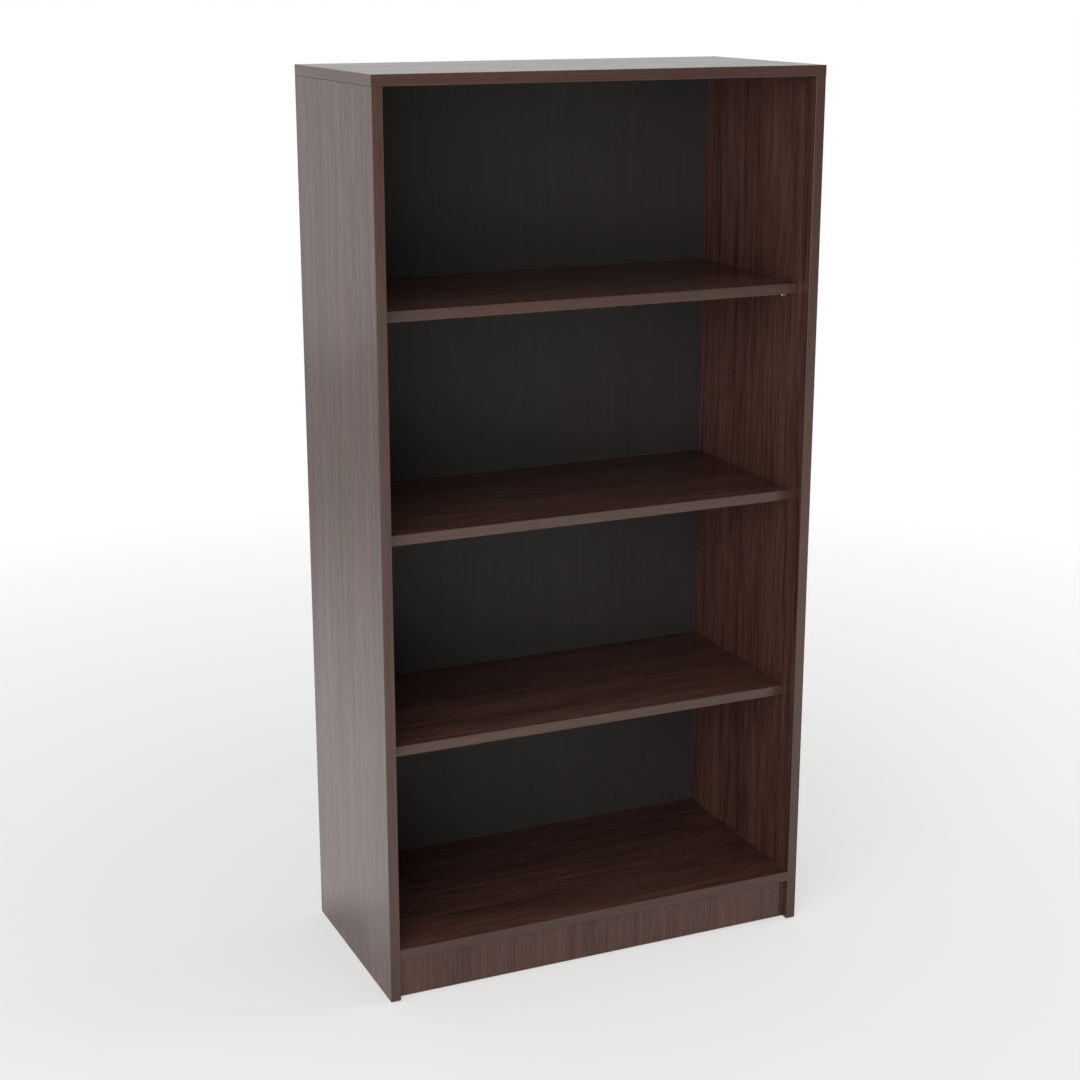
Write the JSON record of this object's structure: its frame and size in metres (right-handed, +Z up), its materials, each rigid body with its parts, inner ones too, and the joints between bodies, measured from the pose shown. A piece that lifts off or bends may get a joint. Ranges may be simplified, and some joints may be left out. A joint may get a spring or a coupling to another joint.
{
  "type": "shelving unit",
  "caption": "Open shelving unit of dark laminated boards on a plinth, with shelves one file high and a thin back panel.",
  "frame": {"origin": "on the floor, under the middle of the case", "axes": "+Z up, +Y to the back, +X to the right seen from the front"},
  "size_m": [0.836, 0.4, 1.624],
  "materials": {
    "laminate": "satin dark walnut laminate with a fine grain",
    "edge_band": "satin dark walnut plastic band",
    "back_board": "matt charcoal lacquered hardboard, raw behind",
    "zinc": "bare zinc casting",
    "steel": "zinc-plated steel",
    "nickel": "nickel-plated steel",
    "dowel_wood": "bare beech",
    "cap_plastic": "matt dark brown",
    "glide_plastic": "matt black"
  },
  "bodies": {
    "case": {"left_side": "laminate", "right_side": "laminate", "top_board": "laminate", "bottom_shelf": "laminate", "middle_shelf": "laminate", "plinth_board": "laminate", "back_panel": "back_board", "left_side_edge_band": "edge_band", "right_side_edge_band": "edge_band", "top_front_edge_band": "edge_band", "top_left_edge_band": "edge_band", "top_right_edge_band": "edge_band", "bottom_shelf_edge_band": "edge_band", "middle_shelf_edge_band": "edge_band", "top_cam_locks": "zinc", "bottom_cam_locks": "zinc", "middle_cam_locks": "zinc", "plinth_cam_locks": "zinc", "top_cam_bolts": "steel", "bottom_cam_bolts": "steel", "middle_cam_bolts": "steel", "plinth_cam_bolts": "steel", "top_dowels": "dowel_wood", "bottom_dowels": "dowel_wood", "middle_dowels": "dowel_wood", "plinth_end_dowels": "dowel_wood", "plinth_top_dowels": "dowel_wood", "top_cam_caps": "cap_plastic", "middle_cam_caps": "cap_plastic", "lower_shelf_pins": "nickel", "upper_shelf_pins": "nickel", "back_panel_screws": "steel", "floor_glides": "glide_plastic"},
    "lower_shelf": {"lower_shelf": "laminate", "lower_shelf_edge_band": "edge_band"},
    "upper_shelf": {"upper_shelf": "laminate", "upper_shelf_edge_band": "edge_band"}
  },
  "joints": [
    {"name": "lower_shelf_slide", "type": "slide", "parent": "case", "child": "lower_shelf", "axis": [0, -1, 0], "range_m": [0, 0.04]},
    {"name": "upper_shelf_slide", "type": "slide", "parent": "case", "child": "upper_shelf", "axis": [0, -1, 0], "range_m": [0, 0.04]}
  ]
}
